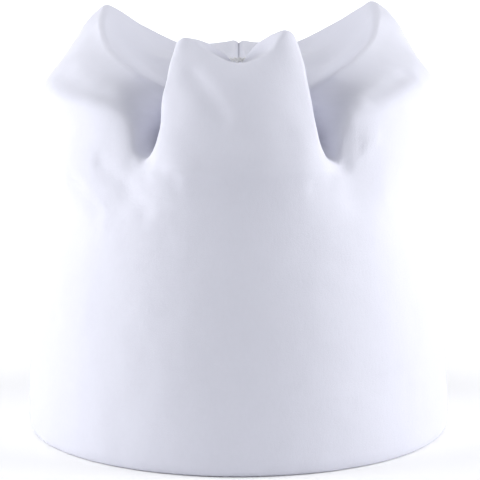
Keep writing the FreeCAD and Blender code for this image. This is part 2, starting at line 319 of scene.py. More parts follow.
# ---------------------------------------------------------------- cloth in mesh form
def add_piece(name, slot, node, vertices, faces, places):
    """A shown mesh that stands for a CAD node; places holds each vertex's spot on the cloth.

    A face that crosses the cloth's joined edge gets its far corners moved on by one width.
    """
    mesh = bpy.data.meshes.new(name)
    mesh.from_pydata([tuple(spot) for spot in vertices], [], faces)
    mesh.polygons.foreach_set("use_smooth", [True] * len(mesh.polygons))
    layer = mesh.uv_layers.new(name="cloth")
    corners = np.zeros(len(mesh.loops), int)
    mesh.loops.foreach_get("vertex_index", corners)
    spots = np.asarray(places, float)[corners]
    width = np.ptp(np.asarray(places, float)[:, 0])
    start = 0
    for face in faces:
        own = spots[start:start + len(face), 0]
        if np.ptp(own) > 0.5 * width and width > 0.05:
            own[own < own.max() - 0.5 * width] += width
        start += len(face)
    layer.uv.foreach_set("vector", spots.ravel())
    mesh.materials.append(finish_for(slot))
    mesh.validate()
    piece = bpy.data.objects.new(name, mesh)
    bpy.context.scene.collection.objects.link(piece)
    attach(piece, "root")
    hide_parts(node)
    return piece


def facing_out(grid):
    """Unit normals of a grid of rows that run round Z from the bottom row to the top one."""
    around = np.roll(grid, -1, axis=1) - np.roll(grid, 1, axis=1)
    rising = np.gradient(grid, axis=0)
    normals = np.cross(around, rising)
    return normals / np.maximum(np.linalg.norm(normals, axis=2, keepdims=True), 1e-12)


def along_columns(grid):
    """How far up the cloth each point lies, measured along its column."""
    steps = np.linalg.norm(np.diff(grid, axis=0), axis=2).mean(axis=1)
    return np.repeat(np.concatenate([[0.0], np.cumsum(steps)])[:, None], grid.shape[1], axis=1)


def lip(outer, inner):
    """Rows that round an edge from the outer face's first row over to the inner face's.

    The edge bulges out past the end of the cloth by half of the cloth's thickness.
    """
    middle, half = (outer[0] + inner[0]) / 2, (outer[0] - inner[0]) / 2
    beyond = (outer[0] - outer[1]) + (inner[0] - inner[1])
    beyond /= np.linalg.norm(beyond, axis=1, keepdims=True)
    reach = np.linalg.norm(half, axis=1, keepdims=True)
    turns = [math.pi * (i + 1) / (LIP_ROWS + 1) for i in range(LIP_ROWS)]
    return np.array([middle + half * math.cos(t) + beyond * reach * math.sin(t) for t in turns])


def sewn_tube(name, slot, node, outer, inner, closed_top=False):
    """A tube of cloth with thickness, from grids of its two faces, rows from bottom to top.

    Its lower edge is rounded; its top is rounded too, or closed to a point on the axis.
    """
    columns = outer.shape[1]
    width = np.linalg.norm(outer[0] - np.roll(outer[0], 1, axis=0), axis=1).sum()
    rows = [inner[::-1], lip(outer, inner)[::-1], outer]
    if not closed_top:
        rows.append(lip(outer[::-1], inner[::-1]))
    skin = np.concatenate(rows)
    across = np.broadcast_to(np.arange(columns) / columns * width, skin.shape[:2])
    steps, past_edge = along_columns(outer), 0.5 * MM
    start, stop = len(inner), len(inner) + LIP_ROWS
    along = np.zeros(skin.shape[:2])
    along[:start] = steps[::-1]
    along[start:stop] = -past_edge
    along[stop:stop + len(outer)] = steps
    along[stop + len(outer):] = steps[-1] + past_edge
    vertices = skin.reshape(-1, 3)
    places = np.stack([across.ravel(), along.ravel()], axis=1)
    count = len(skin)
    last = count - 1 if closed_top else count
    faces = []
    for j in range(last):
        low, high = j * columns, (j + 1) % count * columns
        for i in range(columns):
            k = (i + 1) % columns
            faces.append((low + i, low + k, high + k, high + i))
    if closed_top:
        for row, flip in ((0, True), (count - 1, False)):
            hub = len(vertices)
            middle = skin[row].mean(axis=0)
            vertices = np.vstack([vertices, middle])
            places = np.vstack([places, [width / 2, along[row, 0]]])
            for i in range(columns):
                a, b = row * columns + i, row * columns + (i + 1) % columns
                faces.append((b, a, hub) if flip else (a, b, hub))
    return add_piece(name, slot, node, vertices, faces, places)


def sewn_patch(name, slot, node, grid, thickness, normals):
    """A flat patch of cloth with thickness, from a grid of its middle face."""
    rows, columns = grid.shape[:2]
    front, back = grid + normals * thickness / 2, grid - normals * thickness / 2
    vertices = np.concatenate([front.reshape(-1, 3), back.reshape(-1, 3)])
    across = np.linalg.norm(grid - grid[:, :1], axis=2)
    along = np.linalg.norm(grid - grid[:1], axis=2)
    places = np.tile(np.stack([across.ravel(), along.ravel()], axis=1), (2, 1))
    far = rows * columns
    faces = []
    for j in range(rows - 1):
        for i in range(columns - 1):
            a = j * columns + i
            faces.append((a, a + 1, a + columns + 1, a + columns))
            faces.append((far + a + columns, far + a + columns + 1, far + a + 1, far + a))
    edge = list(range(columns))
    edge += [(j + 1) * columns - 1 for j in range(1, rows)]
    edge += [(rows - 1) * columns + i for i in range(columns - 2, -1, -1)]
    edge += [j * columns for j in range(rows - 2, 0, -1)]
    for a, b in zip(edge, edge[1:] + edge[:1]):
        faces.append((b, a, far + a, far + b))
    return add_piece(name, slot, node, vertices, faces, places)


def thread_runs(name, node, runs, radius, closed=False):
    """Threads that follow runs of points, with pointed ends where a run dips into the cloth."""
    sides = 8
    no_run = (0.31, 0.17, 0.94)  # a direction that no thread follows
    vertices, faces, places = [], [], []
    for run in runs:
        run = np.asarray(run, float)
        ahead = np.roll(run, -1, axis=0) - np.roll(run, 1, axis=0)
        if not closed:
            ahead[0], ahead[-1] = run[1] - run[0], run[-1] - run[-2]
        ahead /= np.linalg.norm(ahead, axis=1, keepdims=True)
        side = np.cross(ahead, no_run)
        side /= np.linalg.norm(side, axis=1, keepdims=True)
        over = np.cross(ahead, side)
        travelled = np.concatenate([[0.0], np.cumsum(np.linalg.norm(np.diff(run, axis=0), axis=1))])
        first = len(vertices)
        for k, spot in enumerate(run):
            share = 1.0 if closed else min(1.0, 0.35 + 2.6 * min(k, len(run) - 1 - k) / len(run))
            for s in range(sides):
                turn = math.tau * s / sides
                ring = side[k] * math.cos(turn) + over[k] * math.sin(turn)
                vertices.append(spot + ring * radius * share)
                places.append((s / sides * math.tau * radius, travelled[k]))
        rings = len(run) if closed else len(run) - 1
        for k in range(rings):
            low, high = first + k * sides, first + (k + 1) % len(run) * sides
            for s in range(sides):
                t = (s + 1) % sides
                faces.append((low + s, low + t, high + t, high + s))
        if not closed:
            faces.append(tuple(first + s for s in reversed(range(sides))))
            faces.append(tuple(first + rings * sides + s for s in range(sides)))
    return add_piece(name, "sewing_thread", node, vertices, faces, places)


def stitches_along(low, high, count, shares=STITCH):
    """For each stitch of a row from low to high, where along the row its points lie.

    A stitch takes up four fifths of the pitch, and the gap after the last one is left out.
    """
    pitch = (high - low) / (count - 0.2)
    return [[low + pitch * (i + 0.8 * share) for share in shares] for i in range(count)]


def stitches_round(path):
    """The points of stitches all round, from one stitch's (azimuth, radius, height) path."""
    return [[around(360 / ROUND_STITCHES * (i + 0.5) + azimuth, radius, height)
             for azimuth, radius, height in path] for i in range(ROUND_STITCHES)]


def around(azimuth, radius, height):
    """A point from its azimuth (degrees from the front towards +X), radius and height in mm."""
    angle = math.radians(azimuth)
    return np.array([radius * math.sin(angle), -radius * math.cos(angle), height]) * MM


def ring_grid(columns, profile):
    """Rows of points round Z, one row for each (radius, height) of the profile, in mm."""
    angle = np.arange(columns) * math.tau / columns
    rows = [np.stack([r * np.sin(angle), -r * np.cos(angle), np.full(columns, z)], axis=1)
            for r, z in profile]
    return np.array(rows) * MM


def wavering(grid, depth, scale, seed):
    """The grid with each point moved along its normal by soft noise."""
    shift = [noise.noise(Vector(spot) / (scale * MM) + Vector((seed, 0, 0)))
             for spot in grid.reshape(-1, 3)]
    shift = np.reshape(shift, grid.shape[:2])
    return grid + facing_out(grid) * (shift * depth * MM)[..., None]


# ---------------------------------------------------------------- the shell's shape
# Rings from the rim up and in to the gather.  A ring is a tightness, which is how much the
# cloth keeps running on past it (1 is a smooth curve and 0 a sharp fold), and either one
# (radius, height) or spots of (azimuth, radius, height) in degrees and millimetres.
RINGS = [
    # rolled hem and round side
    (1.0, (RIM_R - 1.1, 0.9)), (1.0, (RIM_R - 0.2, 2.8)), (1.0, (RIM_R, 9)), (1.0, (95.6, 32)),
    (1.0, (92.7, 60)), (1.0, [(0, 88, 84), (90, 86.5, 84), (180, 88, 84), (-90, 88, 84)]),
    (1.0, [(0, 82.9, 105), (45, 82, 105), (90, 80.6, 106), (135, 82.5, 105), (180, 83, 105),
           (-90, 83.4, 104)]),
    # yoke below the valleys
    (1.0, [(0, 82.2, 119), (20, 82, 119), (30, 80.5, 118), (38, 79.3, 115), (55, 80.5, 117),
           (75, 80.8, 119), (100, 81, 119), (130, 82.5, 119), (155, 81.5, 118), (180, 82, 119),
           (-20, 82, 119), (-30, 80.5, 118), (-38, 79.8, 115), (-55, 83, 118), (-75, 85.5, 120),
           (-100, 85.5, 120), (-130, 84, 119), (-155, 81.5, 118)]),
    # bulge
    (0.8, [(0, 85, 132), (18, 84.5, 132), (26, 82.3, 131), (31, 80, 129), (36, 79, 126),
           (42, 79.5, 126), (50, 81.5, 129), (70, 84, 133), (90, 86, 135), (115, 86.5, 135),
           (140, 84, 131), (160, 80, 128), (180, 81, 130), (-18, 84.5, 132), (-26, 82.3, 131),
           (-31, 80, 129), (-36, 79.5, 128), (-41, 80.5, 129), (-50, 83, 131), (-70, 86.5, 133),
           (-90, 89, 135), (-115, 89, 135), (-140, 84, 131), (-160, 80, 128)]),
    # lower lip of the valleys
    (0.6, [(0, 82.8, 140), (18, 82, 140), (25.5, 79.6, 139), (28.5, 78, 136), (31, 77.5, 133),
           (35, 78, 131.5), (39.5, 79.8, 133.5), (44, 81.5, 138), (52, 82.8, 141), (64, 84.8, 143),
           (75, 86.8, 144.5), (86, 89.3, 146.5), (95, 90.5, 148), (112, 90.5, 147.5),
           (123, 88, 146), (140, 83, 140), (160, 77, 132), (180, 78, 136), (-18, 82, 140),
           (-26, 79.6, 139), (-29, 77.8, 136), (-31.5, 76.8, 133.5), (-34.5, 77.8, 135.5),
           (-38, 79.5, 139.5), (-45, 81.5, 142), (-56, 83.5, 143), (-70, 85.8, 144.5),
           (-80, 87.6, 145.5), (-90, 89.3, 147), (-100, 90, 148), (-116, 89.3, 147.5),
           (-124, 88, 146), (-140, 83, 140), (-160, 77, 132)]),
    # faces of the folds
    (0.9, [(0, 78, 149), (18, 76.8, 149.5), (26.5, 74.6, 148), (29, 70, 143), (31, 64.5, 136.5),
           (33, 64, 136), (35.3, 75.5, 146), (39, 79, 149), (46, 81, 151.5), (56, 83, 153),
           (68, 85, 154.5), (80, 87, 156), (92, 89, 158), (104, 90, 158.5), (112, 89.8, 159.5),
           (123, 87, 160), (138, 80, 150), (160, 69, 141), (180, 71, 146), (-18, 76.8, 149.5),
           (-26.5, 75, 148), (-29.2, 70.5, 143.5), (-31.5, 64.5, 136.5), (-33.8, 66, 137),
           (-36.3, 76.5, 147), (-40, 79, 151), (-47, 81, 153), (-58, 83.5, 154), (-70, 86, 155),
           (-82, 87.6, 156), (-92, 88.5, 158), (-104, 89, 159), (-116, 87.8, 161), (-124, 86, 161),
           (-138, 80, 150), (-160, 69, 141)]),
    # upper faces
    (1.0, [(0, 71.5, 161), (16, 70.2, 161.5), (27.5, 67.5, 160), (29.5, 60, 151), (31.3, 54, 140),
           (33, 55, 140.5), (35.5, 64, 147), (39, 73, 154), (46, 75.5, 158.5), (56, 77, 161),
           (68, 79, 163), (80, 80.5, 165), (92, 82, 167), (104, 83.5, 170), (113, 84, 175),
           (123, 82.8, 177), (140, 72, 162), (160, 60, 154), (180, 63, 159), (-16, 70.2, 161.5),
           (-29, 68.3, 160), (-31, 61.5, 151), (-33, 55, 139), (-35, 55, 139.5), (-37.3, 68, 150),
           (-41, 74, 154), (-48, 75.5, 157), (-58, 76.5, 159.5), (-70, 79, 161), (-82, 80.5, 163),
           (-93, 82, 165.5), (-105, 83, 169), (-116, 83.3, 174), (-124, 82, 175.5),
           (-140, 72, 162), (-160, 60, 154)]),
    # brow of the folds
    (0.8, [(0, 65, 169.5), (15, 63, 171.5), (28, 60.3, 172), (30, 58.5, 169), (31.7, 53, 158),
           (33.5, 45.5, 144), (36, 45.5, 146), (40, 56, 153), (46, 62.5, 158.5), (56, 66, 163),
           (68, 68.5, 166.5), (80, 70.5, 170), (92, 72.5, 173), (104, 76, 177.5),
           (114, 79.5, 184), (123, 78.8, 188), (136, 69, 173), (158, 54, 164), (180, 56, 167),
           (-15, 63, 171.5), (-29.5, 61, 172.5), (-31.5, 59, 169), (-33, 53, 158),
           (-34.8, 45.5, 144), (-37, 46, 145), (-39.5, 56, 152), (-43, 61, 155.5),
           (-50, 65, 160), (-60, 67.5, 163), (-71, 69, 166.5), (-83, 71, 170), (-94, 73, 172.5),
           (-106, 76, 176.5), (-116, 79.5, 182.5), (-124, 78, 187.5), (-136, 69, 173),
           (-158, 54, 164)]),
    # crest
    (0.4, [(0, 58, 174.5), (8, 57.5, 175.7), (14, 56, 178.5), (20, 53, 184), (24, 51, 187),
           (27.5, 50.5, 186.5), (30.5, 49.8, 183), (32.5, 47.5, 176), (34.5, 41, 161),
           (37, 37, 153), (41, 40, 153), (47, 46, 158), (57, 51, 165), (68, 55, 170.5),
           (80, 58, 175), (92, 61, 178.5), (104, 65.5, 183.5), (114, 71, 188),
           (124, 73.8, 190.8), (133, 64.5, 182.3), (152, 50, 171.5), (180, 48, 172),
           (-10, 56, 177), (-18, 54, 180.5), (-24, 52, 183), (-28.5, 52, 183.7),
           (-31.5, 52, 182), (-33.5, 49.5, 176), (-35.5, 42, 160), (-38, 38, 151),
           (-43, 44, 155), (-50, 50, 159.5), (-60, 53, 165.5), (-71, 56.5, 170.5),
           (-83, 59, 174.5), (-94, 61.5, 178), (-106, 66, 182.5), (-116, 71, 187),
           (-124.5, 73, 190), (-134, 63.5, 180.3), (-152, 50, 171)]),
    # slope that runs in to the gather
    (1.0, [(0, 41, 171.5), (12, 39, 176.5), (22, 37, 184), (30, 31, 175), (36, 26, 158),
           (45, 26, 156), (60, 29, 157), (73, 31, 159), (84, 33, 161), (94, 36, 163.5),
           (104, 40, 166), (112, 43, 168.5), (123, 45, 170.5), (138, 40, 168), (160, 32, 169),
           (180, 32, 171.5), (-12, 39, 175), (-24, 37, 180.5), (-31, 32, 174), (-36, 27, 158),
           (-45, 27, 156), (-60, 29, 157), (-78, 31, 159), (-88, 34, 161), (-98, 38, 163.5),
           (-107, 41, 166), (-117, 44, 169), (-126, 44, 169), (-138, 40, 167.5), (-160, 32, 169)]),
    (1.0, [(0, 22, 169.3), (24, 22, 177), (36, 17, 165), (60, 16, 162), (90, 19, 164),
           (122, 24, 168), (150, 20, 168), (180, 20, 170), (-24, 22, 174.5), (-36, 17, 165),
           (-60, 16, 162), (-90, 19, 164), (-120, 24, 168), (-150, 20, 168)]),
    # into the gather
    (1.0, (10, GATHER_Z + 0.3)), (1.0, (5, GATHER_Z - 0.5)), (1.0, (1.2, GATHER_Z - 2.2)),
]

# Soft creases: the points that each runs through in millimetres, how far it stands proud of
# the cloth (less than 0 is a dent) and its half width.
CREASES = [
    # the front fold: soft dents below its brow
    ([(-21, -62, 172), (-17, -65, 167), (-12, -70, 161), (-7, -75, 154)], -1.1, 5.4),
    ([(-6, -80, 146), (8, -81, 144), (20, -77, 147)], -0.5, 6.0),
    # the side folds: a crest along each, and soft dents on their faces
    ([(-62, 44, 189), (-63, 18, 182), (-61, 4, 178), (-58, -8, 174), (-53, -19, 170),
      (-45, -27, 165)], 0.9, 2.8),
    ([(62, 43, 190), (63, 15, 183), (61, 2, 178), (57, -10, 175), (51, -21, 170),
      (42, -28, 165)], 0.9, 2.8),
    ([(-78, -12, 164), (-70, -32, 162), (-58, -46, 159)], -0.6, 5.5),
    ([(76, -20, 166), (66, -38, 162), (58, -50, 158)], -1.4, 5.5),
    # the right valley's pocket
    ([(45, -66, 147), (52, -63, 145), (60, -57, 142)], 0.7, 3.4),
    ([(46, -65, 139), (53, -62, 138)], -1.0, 3.4),
    # drag lines under the folds
    ([(-60, -56, 130), (-53, -61, 124), (-47, -66, 118), (-41, -71, 112)], -1.0, 4.8),
    ([(-74, -40, 120), (-68, -48, 115), (-62, -54, 109)], -0.8, 4.2),
    ([(-38, -71, 133), (-34, -76, 130), (-28, -79, 127)], -0.7, 4.0),
    ([(46, -64, 130), (39, -71, 126), (33, -76, 123)], -0.7, 4.0),
    ([(84, -8, 134), (82, -22, 126), (76, -34, 120)], -1.0, 4.8),
    ([(-88, 2, 150), (-87, 16, 141), (-83, 30, 131)], -1.3, 5.0),
    ([(88, 6, 152), (85, 22, 141), (79, 34, 130)], -1.2, 5.0),
    ([(-85, -6, 111), (-84, 8, 108), (-81, 24, 111)], -0.8, 4.0),
    ([(83, 4, 110), (81, 18, 108), (77, 31, 112)], -0.8, 4.0),
    # drag lines at the back
    ([(-63, 55, 150), (-47, 69, 136), (-27, 79, 125)], -1.5, 5.0),
    ([(64, 52, 146), (50, 66, 133), (30, 78, 121)], -1.4, 5.0),
    ([(-24, 52, 163), (-19, 62, 150), (-15, 73, 138)], -1.4, 4.0),
    ([(21, 50, 164), (18, 63, 150), (12, 75, 137)], -1.3, 4.2),
]


# Beside a sharp fold the curve may leave a spot at no more than SWING times the gentler of
# the two slopes that meet there, plus SLACK, so that it doesn't swing out past the fold.
SWING, SLACK = 1.5, 0.02


def ring_all_round(ring, azimuths):
    """Radius and height at every azimuth, on a smooth closed curve through a ring's spots.

    A ring with no azimuth below 0 is mirrored to the other side.
    """
    if isinstance(ring, tuple):
        return np.repeat([ring], len(azimuths), axis=0)
    spots = [(azimuth % 360, radius, height) for azimuth, radius, height in ring]
    if all(azimuth >= 0 for azimuth, _, _ in ring):
        spots += [(360 - azimuth, radius, height) for azimuth, radius, height in ring
                  if 0 < azimuth < 180]
    spots = np.array(sorted(spots), float)
    at = np.concatenate([spots[-2:, 0] - 360, spots[:, 0], spots[:2, 0] + 360])
    value = np.concatenate([spots[-2:, 1:], spots[:, 1:], spots[:2, 1:]])
    gap = np.diff(at)[:, None]
    slope = np.diff(value, axis=0) / gap
    run = np.zeros_like(value)
    run[1:-1] = (slope[:-1] * gap[1:] + slope[1:] * gap[:-1]) / (gap[1:] + gap[:-1])
    most = SWING * np.minimum(np.abs(slope[:-1]), np.abs(slope[1:])) + SLACK
    run[1:-1] = np.clip(run[1:-1], -most, most)
    i = np.searchsorted(at, azimuths, side="right") - 1
    t = ((azimuths - at[i]) / (at[i + 1] - at[i]))[:, None]
    return eased(value[i], run[i] * gap[i], run[i + 1] * gap[i], value[i + 1], t)


def eased(start, leaving, arriving, stop, t):
    """A cubic from start to stop with these directions at its ends."""
    return ((2 * t**3 - 3 * t**2 + 1) * start + (t**3 - 2 * t**2 + t) * leaving
            + (t**3 - t**2) * arriving + (3 * t**2 - 2 * t**3) * stop)


def shell_face(columns, pitch=2.6):
    """The shell's outer face as a grid of points in metres, a row every pitch millimetres."""
    azimuths = np.arange(columns) * 360 / columns
    angle = np.radians(azimuths)
    rings = []
    for _, ring in RINGS:
        radius, height = ring_all_round(ring, azimuths).T
        rings.append(np.stack([radius * np.sin(angle), -radius * np.cos(angle), height], axis=1))
    rings = np.array(rings)
    gaps = np.linalg.norm(np.diff(rings, axis=0), axis=2).mean(axis=1)
    runs = [rings[1] - rings[0]]
    for k in range(1, len(rings) - 1):
        before, after = gaps[k - 1], gaps[k]
        run = ((rings[k] - rings[k - 1]) / before * after
               + (rings[k + 1] - rings[k]) / after * before)
        runs.append(run / (before + after) * RINGS[k][0])
    runs.append(rings[-1] - rings[-2])
    rows = []
    for k, gap in enumerate(gaps):
        leaving = runs[k] * (gap if k else 1.0)
        arriving = runs[k + 1] * (gap if k + 2 < len(rings) else 1.0)
        count = max(2, round(gap / pitch))
        for j in range(count):
            rows.append(eased(rings[k], leaving, arriving, rings[k + 1], j / count))
    rows.append(rings[-1])
    return np.array(rows) * MM


def from_line(spots, line):
    """Distance of each spot from a line of points."""
    nearest = np.full(spots.shape[:-1], np.inf)
    for start, stop in zip(line, line[1:]):
        run = stop - start
        t = np.clip(((spots - start) @ run) / (run @ run), 0, 1)
        nearest = np.minimum(nearest, np.linalg.norm(spots - start - t[..., None] * run, axis=-1))
    return nearest


CROWN_FROM = 150  # height in mm above which the cloth is drawn into pleats
FACING_LINE = 37.5  # height in mm of the faint line that the facing's edge leaves outside


def pressed(grid, depth_share):
    """The grid with its creases, its pleats at the gather and the seam at the centre back."""
    normals = facing_out(grid)
    height = grid[..., 2] / MM
    lift = np.zeros(grid.shape[:2])
    for line, proud, width in CREASES:
        away = from_line(grid / MM, np.array(line, float)) / width
        lift += proud * depth_share * (1 - 0.7 * away**2) * np.exp(-away**2)
    radius = np.hypot(grid[..., 0], grid[..., 1]) / MM
    angle = np.arctan2(grid[..., 0], -grid[..., 1])
    drawn = np.exp(-((radius - 9) / 8) ** 2) * (height > CROWN_FROM)
    lift -= 1.5 * drawn * np.abs(np.sin(7.5 * angle + 0.5 * np.sin(3 * angle))) ** 0.6
    lift -= 0.3 * np.exp(-((height - FACING_LINE) / 2.2) ** 2)
    seam = (grid[..., 1] > 0) * np.clip((radius - 10) / 10, 0, 1)
    off = np.abs(grid[..., 0] / MM)
    lift += seam * (0.45 * np.exp(-((off - 2.6) / 1.9) ** 2) - 1.1 * np.exp(-(off / 0.9) ** 2))
    return grid + normals * (lift * MM)[..., None]


SHELL = []


def shell_faces():
    """The shell's outer and inner faces, worked out once and kept in SHELL."""
    if not SHELL:
        cloth = bpy.context.scene.toque_cloth
        outer = pressed(shell_face(cloth.columns), cloth.crease_depth)
        outer = wavering(wavering(outer, 0.5, 26, 3.0), 0.22, 9, 7.0)
        outer[..., 2] = np.maximum(outer[..., 2], 1.0 * MM)
        inner = outer - facing_out(outer) * cloth.fleece_thickness
        inner[0, :, 2] = outer[0, :, 2]
        SHELL.extend([outer, inner])
    return SHELL


BACK_RISES_TO = 0.13  # metres: the back climbs steadily up to here, above the seam's rows


def shell_behind(height):
    """The shell's outer face at the centre back: its y at a height, in mm."""
    outer, _ = shell_faces()
    column = outer[:, outer.shape[1] // 2]
    below = column[:, 2] < BACK_RISES_TO
    return np.interp(height * MM, column[below, 2], column[below, 1]) / MM


def shell_beside_back(across, height):
    """The shell's outer face near the centre back: its y at an x and a height, in mm."""
    outer, _ = shell_faces()
    middle = outer.shape[1] // 2
    near = outer[:, middle - 8:middle + 9]
    heights = near[..., 2].mean(axis=1)
    below = heights < BACK_RISES_TO
    y = [np.interp(across, row[::-1, 0] / MM, row[::-1, 1] / MM) for row in near[below]]
    return np.interp(height, heights[below] / MM, y)


# ---------------------------------------------------------------- operators
class TOQUE_OT_shell(bpy.types.Operator):
    """Makes the gathered fleece shell"""

    bl_idname = "toque.shell"
    bl_label = "Fleece shell"

    def execute(self, context):
        outer, inner = shell_faces()
        shell = sewn_tube("toque_shell", "shell_fleece", "outer_shell", outer, inner, True)
        return {"FINISHED"}


class TOQUE_OT_hem(bpy.types.Operator):
    """Makes the doubled fleece facing inside the rim and the stitches over its edge"""

    bl_idname = "toque.hem"
    bl_label = "Hem facing"

    def execute(self, context):
        cloth = context.scene.toque_cloth
        columns, fold, gap, inside = 192, 1.2, 0.9, 91.75
        low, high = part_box("hem_facing")
        heights = np.linspace(low[2] / MM + fold, high[2] / MM - fold, 16)
        column = shell_faces()[0][:, 0]
        wall = -np.interp(heights * MM, column[:, 2], column[:, 1]) / MM
        hold = wall - cloth.fleece_thickness / MM - gap
        outer = wavering(ring_grid(columns, zip(hold, heights)), 0.35, 18, 11.0)
        inner = wavering(ring_grid(columns, [(inside, z) for z in heights]), 0.25, 14, 12.0)
        facing = sewn_tube("toque_hem_facing", "shell_fleece", "hem_facing", outer, inner)
        low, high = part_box("hem_stitching")
        start, stop = 91.6, high[0] / MM - 0.3
        foot, rise = low[2] / MM - 0.2, (high[2] - low[2]) / MM
        runs = stitches_round([(0.25 * math.sin(6 * share), start + (stop - start) * share,
                                foot + rise * math.sin(math.pi * share)) for share in STITCH])
        stitches = thread_runs("toque_hem_stitches", "hem_stitching", runs, cloth.thread_radius)
        return {"FINISHED"}


class TOQUE_OT_sweatband(bpy.types.Operator):
    """Makes the twill sweatband and the stitches along its two edges"""

    bl_idname = "toque.sweatband"
    bl_label = "Sweatband"

    def execute(self, context):
        cloth = context.scene.toque_cloth
        low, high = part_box("sweatband")
        bottom, top = low[2] / MM, high[2] / MM
        columns, rows, outside = 240, 22, high[0] / MM
        heights = np.linspace(bottom + 0.5, top - 0.5, rows)
        selvedge = [0.0 if 1 < k < rows - 2 else 0.1 for k in range(rows)]
        outer = ring_grid(columns, [(outside - 0.1 + r, z) for r, z in zip(selvedge, heights)])
        inner = ring_grid(columns, [(outside - 0.95 - r, z) for r, z in zip(selvedge, heights)])
        inner = wavering(inner, 0.12, 7, 21.0)
        band = sewn_tube("toque_sweatband", "band_cotton", "sweatband", outer, inner)
        runs = []
        for height, way in ((bottom - 0.30, -1), (top + 0.30, 1)):
            runs += stitches_round([(0.5 * (share - 0.5), 90.35 + 0.85 * share,
                                     height + way * (0.22 * math.sin(math.pi * share) - 0.1))
                                    for share in STITCH])
        stitches = thread_runs("toque_band_stitches", "sweatband_stitching", runs,
                               0.8 * cloth.thread_radius)
        return {"FINISHED"}


class TOQUE_OT_lining(bpy.types.Operator):
    """Makes the jersey lining: its side, its gathered crown and the threads that join them"""

    bl_idname = "toque.lining"
    bl_label = "Jersey lining"

    def execute(self, context):
        cloth = context.scene.toque_cloth
        columns, jersey, foot_radius, narrowing = 288, 0.7, 91.9, 12.6
        low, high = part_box("lining_side")
        foot, seam = low[2] / MM, high[2] / MM
        heights = np.linspace(foot + 0.4, seam - 0.5, 30)
        share = (heights - foot) / (seam - foot)
        angle = np.arange(columns) * math.tau / columns
        side = ring_grid(columns, zip(foot_radius - narrowing * share, heights))
        waves = (0.9 + 0.55 * np.sin(9 * angle + 2.0 * np.sin(2 * angle))
                 + 0.35 * np.sin(23 * angle))
        slack = np.sin(math.pi * share)[:, None] * waves
        side = wavering(side - facing_out(side) * (slack * MM)[..., None], 0.5, 20, 31.0)
        wall = sewn_tube("toque_lining_side", "lining_jersey", "lining_side",
                         side, side - facing_out(side) * jersey * MM)
        profile = [(79.3, seam + 0.7), (77.5, seam + 3.4), (74.5, seam + 7), (70.6, seam + 11.4),
                   (66, 118.6), (60, 121.9), (53, 125.2), (46, 128.3), (40, 130.6), (32, 132.5),
                   (24, 133.8), (16, 134.8), (8, 135.4), (2, 135.6)]
        dome = ring_grid(columns, profile)
        reach = np.hypot(dome[..., 0], dome[..., 1]) / MM
        pull = np.clip((reach - 52) / 27, 0, 1) ** 1.5
        pull *= 0.55 + 0.45 * np.sin(36 * angle + 1.3 * np.sin(5 * angle))[None]
        dome = dome - facing_out(dome) * (pull * 1.1 * MM)[..., None]
        dome = dome - facing_out(dome) * (0.6 * MM)
        dome = wavering(dome, 0.7, 24, 37.0)
        crown = sewn_tube("toque_lining_crown", "lining_jersey", "lining_crown",
                          dome, dome - facing_out(dome) * jersey * MM, True)
        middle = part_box("lining_crown_seam")[1][0] / MM - 0.5
        run = [around(2.0 * k, middle + 0.12 * math.sin(0.9 * k), seam + 0.25 * math.sin(1.35 * k))
               for k in range(180)]
        joint = thread_runs("toque_lining_crown_seam", "lining_crown_seam", [run], 0.4 * MM, True)
        low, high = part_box("lining_back_seam")
        column = side[:, columns // 2]
        runs = []
        for heights in stitches_along(low[2], high[2], 6):
            back = np.interp(heights, column[:, 2], column[:, 1]) - 0.85 * MM
            runs.append([(0.0, y - 0.35 * MM * math.sin(math.pi * share), height)
                         for y, height, share in zip(back, heights, STITCH)])
        thread_runs("toque_lining_back_seam", "lining_back_seam", runs, cloth.thread_radius)
        return {"FINISHED"}


class TOQUE_OT_care_label(bpy.types.Operator):
    """Makes the blank satin label and the stitches along its top"""

    bl_idname = "toque.care_label"
    bl_label = "Care label"

    def execute(self, context):
        cloth = context.scene.toque_cloth
        low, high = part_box("care_label")
        rows, columns = 21, 25
        face = low[1] + 0.25 * MM
        grid = np.zeros((rows, columns, 3))
        for j, height in enumerate(np.linspace(low[2], high[2], rows)):
            down = 1 - j / (rows - 1)
            for i, x in enumerate(np.linspace(low[0], high[0], columns)):
                bow = math.cos(math.pi * (i / (columns - 1) - 0.5))
                curl = 2.4 * down ** 2 + 0.6 * down * (1 - bow) + 0.25 * math.sin(3 * down + i / 5)
                grid[j, i] = (x, face - (curl - 0.3) * MM, height)
        flat = np.broadcast_to((0.0, -1.0, 0.0), grid.shape)
        label = sewn_patch("toque_care_label", "label_satin", "care_label", grid, 0.35 * MM, flat)
        low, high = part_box("label_stitching")
        face, height = low[1] + 0.25 * MM, (low[2] + high[2]) / 2
        runs = [[(x, face - 0.2 * MM * math.sin(math.pi * share), height)
                 for x, share in zip(stitch, STITCH)]
                for stitch in stitches_along(low[0], high[0], 6)]
        stitches = thread_runs("toque_label_stitches", "label_stitching", runs,
                               0.8 * cloth.thread_radius)
        return {"FINISHED"}


